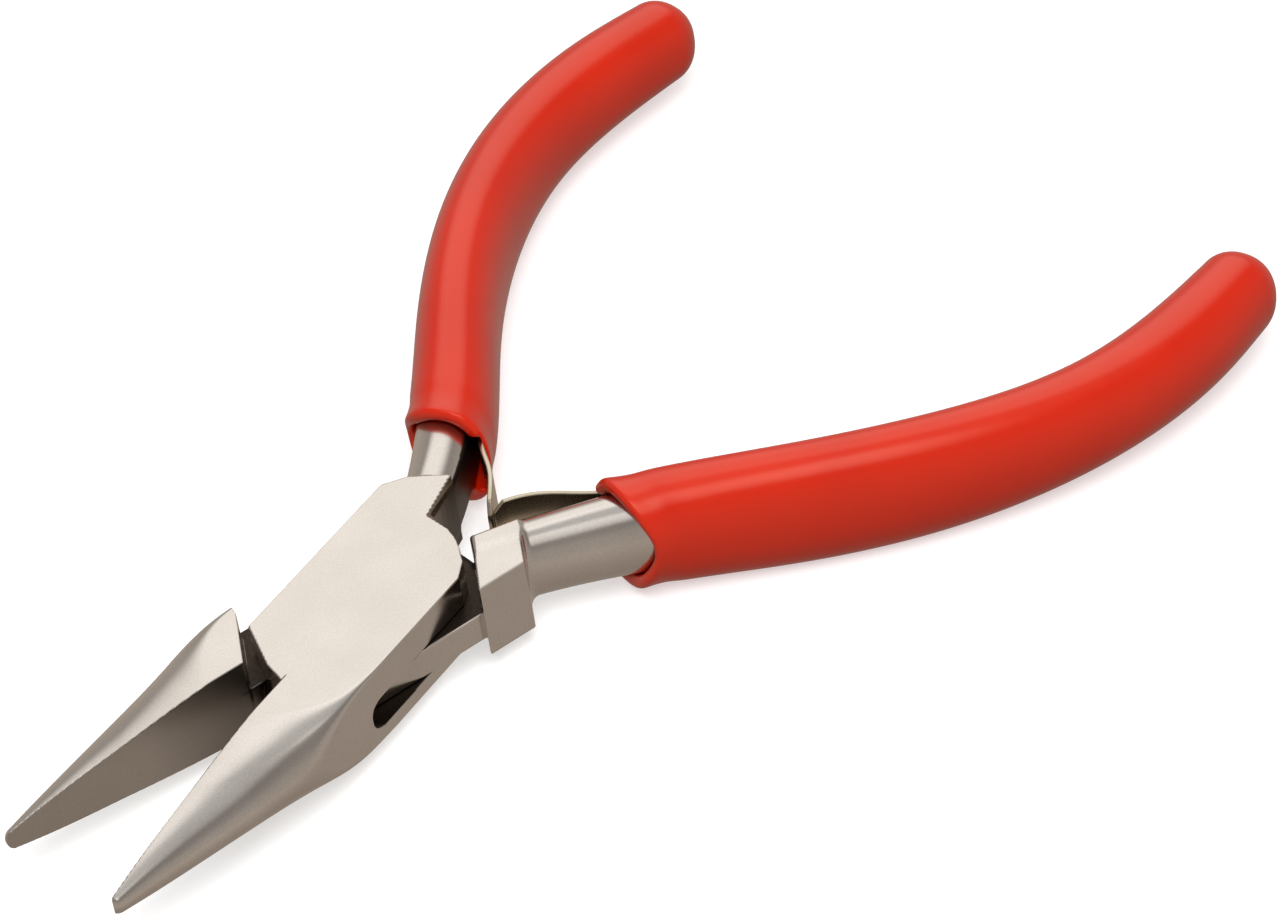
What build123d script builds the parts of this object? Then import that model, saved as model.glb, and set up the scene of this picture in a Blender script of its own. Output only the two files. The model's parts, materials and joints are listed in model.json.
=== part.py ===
from build123d import *
import os

# Box-joint chain nose pliers, 130 mm long closed, with dipped grips and a pair of leaf springs.
# Millimetres. X runs back along the centre line to the handles, Y to the left, Z up the pivot.
# The origin is on the pivot's axis, on the underside of the joint.
# Each half is drawn closed, with the pivot at (0, 0) and its middle height at Z 0, and is then opened.

# ---- driving dimensions -------------------------------------------------------------------------
joint_thickness = 8.1
joint_half_width = 7.0
rest_opening = 19.0          # degrees between the two halves as they lie
jaw_set_back = 0.2           # degrees that each jaw's face stands back from its half's centre line
jaw_tip_x = -39.3
crotch_x = -12.75            # where the jaw's face meets the joint

slot_low, slot_high = -2.51, 0.61     # heights of the slot that the inner half's web turns in
slot_end_radius = 11.9                # the slot's closed ends, round the pivot
slot_play = 0.05                      # above and below the web
slot_end_play = 0.1                   # between the web's round edge and the slot's ends

pin_radius = 2.4
pin_play = 0.03              # radial, in the web only; the cheeks hold the pin tight

handle_line = [(11, 2.0), (24, 7.45), (37, 15.3), (52, 22.7), (66, 25.8), (78, 24.9), (85.2, 23.1)]
steel_end = 0.94             # share of the handle's line that the steel reaches
grip_mouth = 0.172           # share of the handle's line where the middle of the grip's mouth is
grip_mouth_slant = 34        # degrees that the mouth leans, its inner side nearer the joint

# Handle sections: share of the line, half width, half height. The steel's also give the distance from
# the line to the flat on the handle's inner side.
steel_sections = [(0.03, 3.3, 4.05, 1.7), (0.085, 3.35, 4.05, 2.35), (0.16, 3.2, 4.15, 2.4)]
steel_sections += [(0.35, 2.9, 4.8, 2.3), (0.6, 2.8, 4.7, 2.3), (0.8, 2.8, 3.6, 2.3)]
steel_sections += [(steel_end, 2.5, 2.9, 2.1)]
grip_sections = [(0.06, 4.4, 5.4), (0.2, 4.1, 5.8), (0.35, 4.0, 6.2), (0.55, 3.95, 6.0)]
grip_sections += [(0.75, 4.1, 5.1), (0.9, 4.2, 4.7), (1.0, 3.9, 4.4)]

# Jaw sections: X, half width and half height of the ellipse, whose inner half is cut away.
jaw_sections = [(-6.0, 9.3, 6.3), (-12.4, 8.8, 5.8), (-18.0, 7.1, 4.6), (-24.0, 5.35, 3.35)]
jaw_sections += [(-30.0, 3.6, 2.5), (-35.0, 2.1, 1.75), (jaw_tip_x, 0.8, 0.9)]

leaf_thickness = 0.7
leaf_height = 4.8
leaf_line = [(37.4, 12.25), (33.4, 9.8), (29.4, 7.3), (26.2, 4.9), (23.2, 2.5), (20.4, 0.1), (18.0, -1.4)]
outer_leaf_tip = (15.2, -2.9)
inner_leaf_tip = (16.9, -1.9)
rivet_radius = 0.9
rivet_head_radius = 1.6
rivet_head_height = 0.5
rivet_length = 4.2
rivet_place = (33.4, 9.8)

rivet_share = 0.29           # share of the handle's line that the rivet is beside

half_thickness = joint_thickness / 2
beyond = 9                   # reaches past every wall of the joint
mouth_cut = 30               # side of the block that trims the grip's mouth

# Outlines of the joint, seen from above, for the outer half (handle to the left, jaw to the right).
cheek_front = [(crotch_x, 0), (-11.75, 2.25), (-8.35, 6.8)]
cheek_back = [(12.6, 6.8), (14.6, 5.2), (16.6, 1.6), (10.9, 0.4), (10.6, -0.9)]
cheek_hollow = [(10.6, -0.9), (8.6, -4.75), (5.2, -joint_half_width)]    # clears the other half's shoulder
cheek_jaw_side = [(5.2, -joint_half_width), (-6.5, -joint_half_width), (-6.5, -1), (crotch_x, 0)]
# The same for the inner half (handle to the right, jaw to the left).
neck_front = [(-5, 0.1), (-14, 0.1), (-14, 5.5), (-9.5, joint_half_width), (-5, joint_half_width)]
neck_back = [(5, -1), (12, -1.8), (11, -6), (8, -joint_half_width), (5, -joint_half_width)]
shoulder = [(11.5, -1.6), (9.65, -4.1), (7.45, -7.6), (12.6, -7.6), (15.6, -2.6)]
far_jaw_back = [(-13.2, -1), (-13.2, 0), (-9.9, 5.9), (-9.2, beyond), (0, beyond), (0, -1)]


# ---- helpers ------------------------------------------------------------------------------------
def prism(corners, low, high):
    """A solid between two heights, on a closed outline of straight edges."""
    outline = Polyline(*corners, close=True)
    return Pos(0, 0, low) * extrude(make_face(outline), high - low)


def block(x_low, x_high, y_low, y_high, z_low, z_high):
    """A plain block between two corners."""
    size = Box(x_high - x_low, y_high - y_low, z_high - z_low)
    return Pos((x_low + x_high) / 2, (y_low + y_high) / 2, (z_low + z_high) / 2) * size


def section_planes(line, shares):
    """Planes square to a flat curve, with local X to the left of the curve and local Y up."""
    planes = []
    for share in shares:
        ahead = line % share
        left = Vector(-ahead.Y, ahead.X, 0)
        planes.append(Plane(origin=line @ share, x_dir=left, z_dir=-ahead))
    return planes


def handle_curve():
    return Spline(*handle_line)


def placed(shape, turn):
    """The shape in its open place, on the joint's underside."""
    return Pos(0, 0, half_thickness) * Rot(0, 0, turn) * shape


# ---- the steel halves ---------------------------------------------------------------------------
def jaw():
    """Half-round outside and flat inside, below the centre line, clipped to the joint's own walls."""
    sections = []
    for x, half_width, half_height in jaw_sections:
        plane = Plane(origin=(x, 0, 0), x_dir=(0, 1, 0), z_dir=(1, 0, 0))
        whole = Ellipse(half_width, half_height)
        lower = Pos(-half_width, 0) * Rectangle(2 * half_width, 2.2 * half_height)
        sections.append(plane * (whole & lower))
    cone = loft(sections)
    clip = block(jaw_tip_x - 1, jaw_sections[0][0], -joint_half_width, 1, -half_thickness, half_thickness)
    return Rot(0, 0, jaw_set_back) * cone & clip


def steel_handle():
    """D-shaped bar along the handle's line, flat on the side that faces the other handle."""
    line = handle_curve()
    sections = []
    planes = section_planes(line, [share for share, _, _, _ in steel_sections])
    for plane, (_, half_width, half_height, flat) in zip(planes, steel_sections):
        whole = Ellipse(half_width, half_height)
        kept = Pos(half_width - flat, 0) * Rectangle(2 * half_width, 2.2 * half_height)
        sections.append(plane * (whole & kept))
    return loft(sections)


def pin_hole(radius):
    return Cylinder(radius, 2 * joint_thickness)


def outer_half():
    """The half with two cheeks and a slot through it; its jaw is on the right, its handle on the left."""
    outline = [Polyline(*cheek_front, *cheek_back), ThreePointArc(*cheek_hollow), Polyline(*cheek_jaw_side)]
    cheeks = Pos(0, 0, -half_thickness) * extrude(make_face(outline), joint_thickness)
    body = cheeks + jaw() + steel_handle()
    slot = Cylinder(slot_end_radius, slot_high - slot_low)
    slot = Pos(0, 0, (slot_low + slot_high) / 2) * slot
    front_way = Rot(0, 0, jaw_set_back) * block(-15, 0, 0, beyond, slot_low, slot_high)
    back_way = block(0, 13, -beyond, 0.3, slot_low, slot_high)
    return body - slot - front_way - back_way - pin_hole(pin_radius)


def mirrored(shape):
    """The same shape for the other half, left for right."""
    return mirror(shape, Plane.XZ)


def inner_half():
    """The half with a thin web through the slot; its jaw is on the left, its handle on the right."""
    low, high = slot_low + slot_play, slot_high - slot_play
    disc = Cylinder(slot_end_radius - slot_end_play, high - low)
    strip = Box(2 * slot_end_radius, 2 * joint_half_width, high - low)
    web = Pos(0, 0, (low + high) / 2) * (disc & strip)
    web = web + Rot(0, 0, -jaw_set_back) * prism(neck_front, low, high) + prism(neck_back, low, high)
    far_jaw = mirrored(jaw()) - prism(far_jaw_back, -beyond, beyond)
    handle = prism(shoulder, -half_thickness, half_thickness) + mirrored(steel_handle())
    body = far_jaw + web + handle
    return body - pin_hole(pin_radius + pin_play)


def pivot_pin():
    """A plain pin, ground flush with both cheeks."""
    return Cylinder(pin_radius, joint_thickness)


# ---- springs, their rivets and the grips, drawn for the outer half -------------------------------
def leaf(tip):
    """A flat strip on edge, from under the grip to its tip near the centre line."""
    line = Spline(*leaf_line, tip)
    strip = trace(line, leaf_thickness)
    return Pos(0, 0, -leaf_height / 2) * extrude(strip, leaf_height)


def rivet():
    """Holds the leaf's root to the handle's flat; its tail is set in the steel."""
    line = handle_curve()
    ahead = line.tangent_at(rivet_share)
    inward = Vector(ahead.Y, -ahead.X, 0)
    seat = Plane(origin=rivet_place, z_dir=-inward)
    shank = extrude(Circle(rivet_radius), rivet_length)
    head = Pos(0, 0, -rivet_head_height) * extrude(Circle(rivet_head_radius), rivet_head_height)
    return seat.offset(-leaf_thickness / 2) * (shank + head)


def grip_skin():
    """The grip's outside: a loft along the handle's line, with a slanted mouth and a round end."""
    line = handle_curve()
    planes = section_planes(line, [share for share, _, _ in grip_sections])
    sections = [plane * Ellipse(width, height) for plane, (_, width, height) in zip(planes, grip_sections)]
    end = line @ 1.0
    _, width, height = grip_sections[-1]
    cap = Pos(*end) * scale(Sphere(1), (width, width, height))
    mouth = section_planes(line, [grip_mouth])[0].rotated((0, -grip_mouth_slant, 0))
    in_front = mouth * Pos(0, 0, mouth_cut / 2) * Box(mouth_cut, mouth_cut, mouth_cut)
    return loft(sections) + cap - in_front


def grip(own_leaf, own_rivet):
    return grip_skin() - steel_handle() - own_leaf - own_rivet


# ---- assembly -----------------------------------------------------------------------------------
outer_turn, inner_turn = rest_opening / 2, -rest_opening / 2
leaf_rivet = rivet()
left_leaf = leaf(outer_leaf_tip) - leaf_rivet
right_leaf = leaf(inner_leaf_tip) - leaf_rivet
left_steel = outer_half() - leaf_rivet
right_steel = inner_half() - mirrored(leaf_rivet)

nodes = {
    "outer_half": placed(left_steel, outer_turn),
    "inner_half": placed(right_steel, inner_turn),
    "pivot_pin": placed(pivot_pin(), outer_turn),
    "outer_grip": placed(grip(left_leaf, leaf_rivet), outer_turn),
    "inner_grip": placed(mirrored(grip(right_leaf, leaf_rivet)), inner_turn),
    "outer_leaf_spring": placed(left_leaf, outer_turn),
    "inner_leaf_spring": placed(mirrored(right_leaf), inner_turn),
    "outer_spring_rivet": placed(leaf_rivet, outer_turn),
    "inner_spring_rivet": placed(mirrored(leaf_rivet), inner_turn),
}

os.makedirs("parts", exist_ok=True)
for name, shape in nodes.items():
    export_step(shape, f"parts/{name}.step")
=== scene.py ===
"""Looks of the box-joint chain nose pliers: ground steel halves, dipped grips and leaf springs.

Lengths are millimetres in each half's own frame (pivot at the origin, Z 0 at mid-thickness, X back to the
handles, Y to the left), and metres only where an object is made. The inner half is drawn left for right.
"""
import json
import math

import bpy
import numpy as np
from mathutils import Matrix, Vector


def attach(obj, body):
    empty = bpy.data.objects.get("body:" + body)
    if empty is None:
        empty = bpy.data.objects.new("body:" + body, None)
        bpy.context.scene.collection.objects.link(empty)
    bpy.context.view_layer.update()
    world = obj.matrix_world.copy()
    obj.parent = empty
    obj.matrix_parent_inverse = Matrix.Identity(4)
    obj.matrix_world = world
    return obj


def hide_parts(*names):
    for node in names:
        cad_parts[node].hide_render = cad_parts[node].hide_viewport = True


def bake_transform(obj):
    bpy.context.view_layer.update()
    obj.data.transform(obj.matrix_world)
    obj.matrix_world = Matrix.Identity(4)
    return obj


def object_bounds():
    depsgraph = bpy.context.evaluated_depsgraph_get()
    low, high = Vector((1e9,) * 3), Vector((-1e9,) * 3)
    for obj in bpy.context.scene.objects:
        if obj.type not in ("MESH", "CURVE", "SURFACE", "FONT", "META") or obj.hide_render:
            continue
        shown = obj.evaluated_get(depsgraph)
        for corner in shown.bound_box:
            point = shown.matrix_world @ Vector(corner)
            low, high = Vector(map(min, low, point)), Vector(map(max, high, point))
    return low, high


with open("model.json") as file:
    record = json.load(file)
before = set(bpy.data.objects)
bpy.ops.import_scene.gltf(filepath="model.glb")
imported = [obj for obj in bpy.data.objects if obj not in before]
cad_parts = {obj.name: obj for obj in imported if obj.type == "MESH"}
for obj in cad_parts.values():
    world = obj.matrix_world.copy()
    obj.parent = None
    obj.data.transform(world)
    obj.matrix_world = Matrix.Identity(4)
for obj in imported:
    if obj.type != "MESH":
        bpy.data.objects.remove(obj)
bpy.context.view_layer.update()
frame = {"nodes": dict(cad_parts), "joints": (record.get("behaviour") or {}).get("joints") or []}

MM = 0.001
JOINT = frame["joints"][0]
PIVOT = np.array(JOINT["pos_m"])
REST_OPENING = 19.0          # degrees between the halves as they lie
HALF_THICK = 4.05
HALF_WIDTH = 7.0
JAW_TIP_X = -39.3
CROTCH_X = -12.75
JAW_SET_BACK = 0.2           # degrees
SLOT_LOW, SLOT_HIGH = -2.51, 0.61
SLOT_END_RADIUS = 11.9
SLOT_PLAY = 0.05
SLOT_END_PLAY = 0.1          # between the web's round edge and the slot's ends
PIN_RADIUS = 2.4
PIN_PLAY = 0.03
PIN_COVER = 0.12             # the ground faces hide the pin's ends

HANDLE_POINTS = [(11, 2.0), (24, 7.45), (37, 15.3), (52, 22.7), (66, 25.8), (78, 24.9), (85.2, 23.1)]
# Share of the handle's line, outer and inner half width, half height, and how far the inner flat is from it.
STEEL_SECTIONS = [
    (0.0, 2.75, 3.2, 3.85, 1.7), (0.06, 2.8, 3.3, 3.85, 2.3), (0.11, 3.0, 3.3, 3.95, 2.4),
    (0.2, 3.3, 3.3, 4.3, 2.4), (0.35, 2.9, 3.0, 4.8, 2.3), (0.6, 2.8, 2.8, 4.7, 2.3),
    (0.8, 2.8, 2.8, 3.6, 2.3), (0.94, 2.5, 2.5, 2.9, 2.1),
]
# Share of the handle's line, outer and inner half width, half height.
GRIP_SECTIONS = [
    (0.06, 4.5, 4.45, 5.25), (0.2, 4.2, 4.2, 5.7), (0.35, 4.0, 4.0, 6.15), (0.55, 3.95, 3.95, 6.0),
    (0.75, 4.1, 4.1, 5.1), (0.9, 4.2, 4.2, 4.7), (1.0, 3.9, 3.9, 4.4),
]
# X, half width and half height of the ellipse, whose inner half is cut away.
JAW_SECTIONS = [
    (-2.0, 9.9, 6.9), (-6.0, 9.3, 6.3), (-12.4, 8.8, 5.8), (-18.0, 7.1, 4.6), (-24.0, 5.35, 3.35),
    (-30.0, 3.6, 2.5), (-35.0, 2.1, 1.75), (JAW_TIP_X, 0.8, 0.9),
]

# Outlines seen from above.
CHEEK = [
    (CROTCH_X, 0), (-11.75, 2.25), (-8.35, 6.8), (12.6, 6.8), (14.6, 5.2), (16.6, 1.6), (10.9, 0.4),
    (10.6, -0.9), (10.25, -2.35), (9.55, -3.6), (8.6, -4.75), (7.1, -6.15), (5.2, -HALF_WIDTH),
    (-6.5, -HALF_WIDTH), (-6.5, -1),
]
SHOULDER = [(11.5, -1.6), (9.65, -4.1), (7.45, -7.6), (12.6, -7.6), (15.6, -2.6)]
NECK_FRONT = [(-5, 0.1), (-14, 0.1), (-14, 5.5), (-9.5, HALF_WIDTH), (-5, HALF_WIDTH)]
NECK_BACK = [(5, -1), (12, -1.8), (11, -6), (8, -HALF_WIDTH), (5, -HALF_WIDTH)]
FAR_JAW_BACK = [(-13.2, -1), (-13.2, 0), (-9.9, 5.9), (-9.2, 9), (0, 9), (0, -1)]


# ---- camera, first ------------------------------------------------------------------------------
def make_camera():
    """Looks down at the joint from the front right; its place and lens come from a camera fit."""
    azimuth, elevation, roll = math.radians(47.887), math.radians(40.642), math.radians(-8.951)
    distance = 458.387
    aim = Vector((30.54, -5.573, 4.05))
    level = math.cos(elevation)
    ahead = Vector((level * math.cos(azimuth), level * math.sin(azimuth), -math.sin(elevation)))
    right = ahead.cross(Vector((0, 0, 1))).normalized()
    above = right.cross(ahead)
    turned_right = math.cos(roll) * right + math.sin(roll) * above
    turned_above = -math.sin(roll) * right + math.cos(roll) * above
    data = bpy.data.cameras.new("camera")
    data.sensor_width = 36
    data.lens = 138.995
    data.clip_start, data.clip_end = 0.01, 20
    camera = bpy.data.objects.new("camera", data)
    turn = Matrix((turned_right, turned_above, -ahead)).transposed().to_4x4()
    camera.matrix_world = Matrix.Translation((aim - distance * ahead) * MM) @ turn
    bpy.context.scene.collection.objects.link(camera)
    bpy.context.scene.camera = camera


make_camera()


# ---- curves and distances -----------------------------------------------------------------------
CURVE_SAMPLES = 2000         # points that a curve's length is measured with
NEAREST_BATCH = 20000        # points that are compared with the handle's line at a time


def cubic_spline(knots, values):
    """A natural cubic spline through the values, as a function of the knot parameter."""
    knots, values = np.asarray(knots, float), np.asarray(values, float)
    gaps = np.diff(knots)
    count = len(knots)
    system = np.eye(count)
    target = np.zeros_like(values)
    slopes = np.diff(values, axis=0) / (gaps[:, None] if values.ndim > 1 else gaps)
    for k in range(1, count - 1):
        system[k, k - 1:k + 2] = gaps[k - 1], 2 * (gaps[k - 1] + gaps[k]), gaps[k]
        target[k] = 6 * (slopes[k] - slopes[k - 1])
    bends = np.linalg.solve(system, target)

    def at(t):
        t = np.asarray(t, float)
        k = np.clip(np.searchsorted(knots, t) - 1, 0, count - 2)
        gap, ahead, behind = gaps[k], knots[k + 1] - t, t - knots[k]
        if values.ndim > 1:
            gap, ahead, behind = gap[..., None], ahead[..., None], behind[..., None]
        cubic = (bends[k] * ahead ** 3 + bends[k + 1] * behind ** 3) / (6 * gap)
        left = (values[k] / gap - bends[k] * gap / 6) * ahead
        right = (values[k + 1] / gap - bends[k + 1] * gap / 6) * behind
        return cubic + left + right

    return at


def even_curve(points, count):
    """Points evenly spaced along a smooth curve through the given ones, its left normals and its length."""
    points = np.asarray(points, float)
    knots = np.concatenate([[0], np.cumsum(np.hypot(*np.diff(points, axis=0).T))])
    at = cubic_spline(knots, points)
    fine = at(np.linspace(0, knots[-1], CURVE_SAMPLES))
    run = np.concatenate([[0], np.cumsum(np.hypot(*np.diff(fine, axis=0).T))])
    even = np.stack([np.interp(np.linspace(0, run[-1], count), run, fine[:, k]) for k in (0, 1)], -1)
    ahead = np.gradient(even, axis=0)
    ahead /= np.hypot(*ahead.T)[:, None]
    return even, np.stack([-ahead[:, 1], ahead[:, 0]], -1), run[-1]


HANDLE, HANDLE_LEFT, HANDLE_LENGTH = even_curve(HANDLE_POINTS, 401)


def section_at(sections, share):
    """The section's sizes at any share of the line, through a smooth curve."""
    table = np.asarray(sections, float)
    smooth = cubic_spline(table[:, 0], table[:, 1:])
    return smooth(np.clip(share, table[0, 0], table[-1, 0]))


def along_handle(x, y):
    """Share of the handle's line beside each point, and the offset to the left of the line."""
    points = np.stack([x.ravel(), y.ravel()], -1)
    share, offset = np.empty(len(points)), np.empty(len(points))
    for start in range(0, len(points), NEAREST_BATCH):
        batch = slice(start, start + NEAREST_BATCH)
        part = points[batch]
        gap = part[:, None] - HANDLE[None]
        nearest = np.argmin((gap ** 2).sum(-1), 1)
        near_gap = gap[np.arange(len(part)), nearest]
        normal = HANDLE_LEFT[nearest]
        past = near_gap[:, 0] * normal[:, 1] - near_gap[:, 1] * normal[:, 0]
        share[batch] = nearest / (len(HANDLE) - 1) + past / HANDLE_LENGTH
        offset[batch] = (near_gap * normal).sum(-1)
    return share.reshape(x.shape), offset.reshape(x.shape)


def rounded_and(a, b, radius):
    """Only what is in both shapes, with the outer edge between them rounded."""
    corner = np.hypot(np.maximum(a + radius, 0), np.maximum(b + radius, 0))
    return np.minimum(-radius, np.maximum(a, b)) + corner


def rounded_or(a, b, radius):
    """What is in either shape, with the inner corner between them filled."""
    corner = np.hypot(np.maximum(radius - a, 0), np.maximum(radius - b, 0))
    return np.maximum(radius, np.minimum(a, b)) - corner


def ellipse_gap(across, up, half_width, half_height):
    """About the distance from an ellipse centred at the origin, negative inside."""
    scaled = np.hypot(across / half_width, up / half_height)
    steep = np.hypot(across / half_width ** 2, up / half_height ** 2)
    return scaled * (scaled - 1) / np.maximum(steep, 1e-6)


def outline_gap(corners, x, y):
    """Distance from a closed outline of straight edges, negative inside."""
    corners = np.asarray(corners, float)
    best = np.full(x.shape, np.inf)
    inside = np.zeros(x.shape, bool)
    for k, (x1, y1) in enumerate(corners):
        x0, y0 = corners[k - 1]
        edge_x, edge_y = x1 - x0, y1 - y0
        share = np.clip(((x - x0) * edge_x + (y - y0) * edge_y) / (edge_x ** 2 + edge_y ** 2), 0, 1)
        best = np.minimum(best, np.hypot(x - x0 - share * edge_x, y - y0 - share * edge_y))
        crosses = (y0 > y) != (y1 > y)
        if edge_y:
            inside ^= crosses & (x < x0 + (y - y0) * edge_x / edge_y)
    return np.where(inside, -best, best)


# ---- the steel halves, as distances --------------------------------------------------------------
EDGE = 0.15                  # radius of the broken edges of the joint
FINE_EDGE = 0.12             # radius of the web's and the jaw faces' edges
SLOT_EDGE = 0.1              # radius of the edges round the slot
HANDLE_EDGE = 0.3            # radius along the handle's flat and round its end
TOP_FADE = 1.1               # radius that fades the ground top into the round jaw
SIDE_FADE = 0.5              # the same for the joint's flat side
JAW_FADE = (10, 19)          # distances in front of the pivot where those two start and are full
JAW_TIP_EDGE = 0.7
JAW_ROOT_X = -3.0            # where the jaw's shape ends inside the joint
SLOT_CORNER = 1.3            # radius inside the slot's closed ends
FRONT_WAY_X = -15            # how far the slot's straight ways in reach
BACK_WAY_X, BACK_WAY_Y = 13, 0.3
HANDLE_JOIN, SHOULDER_JOIN, WEB_JOIN = 0.3, 0.9, 0.2     # radii of the filled inner corners

# What is milled and left unpolished and darkened with painted shade, and where else painted shade and a
# painted highlight fall.
TOUCHING = 0.06              # distance within which a point is on a wall
WEB_FACE_REACH = 14.5        # from the pivot along X
WEB_END_REACH = (10, 12)     # distances from the pivot of the web's round ends
WEB_END_SIDE, WEB_END_HEIGHT = 6.9, 3
JAW_FACE_END = -9.5          # X where the jaw's gripping face ends at the joint
JAW_FACE_DEPTH = 0.4
# Painted shade on the jaw's gripping face: the pale share at the tip, and the darker share added towards the
# root.
JAW_FACE_PALE, JAW_FACE_DARKER = 0.28, 0.46
INNER_FLAT_START = 10.4      # X of the joint's back corner
INNER_FLAT_SHADE = 0.9
UPPER_BAND_END = 17          # X up to which the flat has a painted highlight band along its top
UPPER_BAND_HIGHLIGHT = 0.75

OUTLINES = {
    "cheek": CHEEK, "shoulder": SHOULDER, "neck_front": NECK_FRONT, "neck_back": NECK_BACK,
    "jaw_back": FAR_JAW_BACK,
}


class Plan:
    """What depends only on the place seen from above, tabled once on a grid and read between its points."""

    def __init__(self, xs, ys, inner, outlines):
        self.low, self.step = np.array([xs[0], ys[0]]), xs[1] - xs[0]
        x, y = np.meshgrid(xs, ys, indexing="ij")
        share, offset = along_handle(x, -y if inner else y)
        self.tables = {"share": share, "offset": offset}
        for name in outlines:
            turn = -JAW_SET_BACK if name == "neck_front" else 0
            self.tables[name] = outline_gap(OUTLINES[name], *turned(x, y, turn))

    def at_grid(self, i, j):
        """The values at points of the grid, by their indices."""
        return {name: table[i, j] for name, table in self.tables.items()}

    def at(self, x, y):
        """The values at any place, between those of the four grid points round it."""
        u, v = (x - self.low[0]) / self.step, (y - self.low[1]) / self.step
        shape = self.tables["share"].shape
        i = np.clip(u.astype(int), 0, shape[0] - 2)
        j = np.clip(v.astype(int), 0, shape[1] - 2)
        u, v = u - i, v - j
        read = {}
        for name, table in self.tables.items():
            low = table[i, j] * (1 - u) + table[i + 1, j] * u
            high = table[i, j + 1] * (1 - u) + table[i + 1, j + 1] * u
            read[name] = low * (1 - v) + high * v
        return read


def slab(gap, z, low, high, edge):
    """An outline between two heights, with broken edges."""
    return rounded_and(gap, np.maximum(z - high, low - z), edge)


def turned(x, y, degrees):
    """The place as it is seen from axes turned by an angle."""
    cos, sin = math.cos(math.radians(degrees)), math.sin(math.radians(degrees))
    return cos * x + sin * y, cos * y - sin * x


def fade(x, start, end):
    """0 before start, 1 after end, and smooth between."""
    share = np.clip((x - start) / (end - start), 0, 1)
    return share * share * (3 - 2 * share)


JAW_SIZES = cubic_spline(*[np.asarray(JAW_SECTIONS)[::-1][:, part] for part in (0, slice(1, None))])


def jaw_gap(x, y, z):
    """The jaw, below Y 0: half-round outside, flat inside, fading into the joint's flat faces."""
    x, y = turned(x, y, JAW_SET_BACK)
    sizes = JAW_SIZES(np.clip(x, JAW_TIP_X, JAW_SECTIONS[0][0]))
    cone = ellipse_gap(y, z, sizes[..., 0], sizes[..., 1])
    soft = fade(-x, *JAW_FADE)
    cone = rounded_and(cone, np.abs(z) - HALF_THICK, EDGE + (TOP_FADE - EDGE) * soft)
    cone = rounded_and(cone, -y - HALF_WIDTH, EDGE + (SIDE_FADE - EDGE) * soft)
    cone = rounded_and(cone, y, FINE_EDGE)
    cone = rounded_and(cone, JAW_TIP_X - x, JAW_TIP_EDGE)
    return np.maximum(cone, x - JAW_ROOT_X)


def steel_handle_gap(share, offset, z):
    """D-shaped bar along the handle's line, flat on the side that faces the other handle."""
    sizes = section_at(STEEL_SECTIONS, share)
    half_width = np.where(offset > 0, sizes[..., 0], sizes[..., 1])
    bar = ellipse_gap(offset, z, half_width, sizes[..., 2])
    bar = rounded_and(bar, -offset - sizes[..., 3], HANDLE_EDGE)
    first, last = STEEL_SECTIONS[0][0], STEEL_SECTIONS[-1][0]
    ends = np.maximum(first - share, share - last) * HANDLE_LENGTH
    return rounded_and(bar, ends, HANDLE_EDGE)


def slot_gap(x, y, z):
    """The slot through the outer half, with round closed ends and straight ways in at front and back."""
    middle, half_height = (SLOT_LOW + SLOT_HIGH) / 2, (SLOT_HIGH - SLOT_LOW) / 2
    height = np.abs(z - middle) - half_height
    slot = rounded_and(np.hypot(x, y) - SLOT_END_RADIUS, height, SLOT_CORNER)
    turned_x, turned_y = turned(x, y, JAW_SET_BACK)
    front_way = np.maximum(np.maximum(FRONT_WAY_X - turned_x, turned_x), np.maximum(-turned_y, height))
    back_way = np.maximum(np.maximum(-x, x - BACK_WAY_X), np.maximum(y - BACK_WAY_Y, height))
    return np.minimum(slot, np.minimum(front_way, back_way))


def pin_gap(x, y, z, radius):
    """The pin's hole, which stops just under the ground faces that hide the pin's ends."""
    return np.maximum(np.hypot(x, y) - radius, np.abs(z) - HALF_THICK + PIN_COVER)


def outer_steel(plan, x, y, z):
    """The half with two cheeks and the slot."""
    cheek = slab(plan["cheek"], z, -HALF_THICK, HALF_THICK, EDGE)
    body = np.minimum(cheek, jaw_gap(x, y, z))
    body = rounded_or(body, steel_handle_gap(plan["share"], plan["offset"], z), HANDLE_JOIN)
    body = rounded_and(body, -slot_gap(x, y, z), SLOT_EDGE)
    return np.maximum(body, -pin_gap(x, y, z, PIN_RADIUS))


def web_height(z):
    """How far above or below the web a height is; negative within it."""
    low, high = SLOT_LOW + SLOT_PLAY, SLOT_HIGH - SLOT_PLAY
    return np.abs(z - (low + high) / 2) - (high - low) / 2


def inner_steel(plan, x, y, z):
    """The half with the thin web; its jaw is to the left and its handle to the right."""
    height = web_height(z)
    disc = rounded_and(np.hypot(x, y) - SLOT_END_RADIUS + SLOT_END_PLAY, height, SLOT_CORNER + SLOT_PLAY)
    web = rounded_and(disc, np.abs(y) - HALF_WIDTH, FINE_EDGE)
    necks = rounded_and(np.minimum(plan["neck_front"], plan["neck_back"]), height, FINE_EDGE)
    web = np.minimum(web, necks)
    shoulder = slab(plan["shoulder"], z, -HALF_THICK, HALF_THICK, EDGE)
    jaw = rounded_and(jaw_gap(x, -y, z), -plan["jaw_back"], FINE_EDGE)
    handle = rounded_or(shoulder, steel_handle_gap(plan["share"], plan["offset"], z), SHOULDER_JOIN)
    body = np.minimum(rounded_or(jaw, web, WEB_JOIN), rounded_or(handle, web, WEB_JOIN))
    return np.maximum(body, -pin_gap(x, y, z, PIN_RADIUS + PIN_PLAY))


def outer_shade(plan, x, y, z, normal):
    """Painted shade: 1 where the steel is milled, in the slot, and less on the handle's inner flat and the
    jaw's face.
    """
    milled_and_shaded = np.where(slot_gap(x, y, z) < TOUCHING, 1.0, 0.0)
    return np.maximum(milled_and_shaded, flat_shade(plan, x, z, normal, 1) + jaw_face_shade(x, y, normal, 1))


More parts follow.
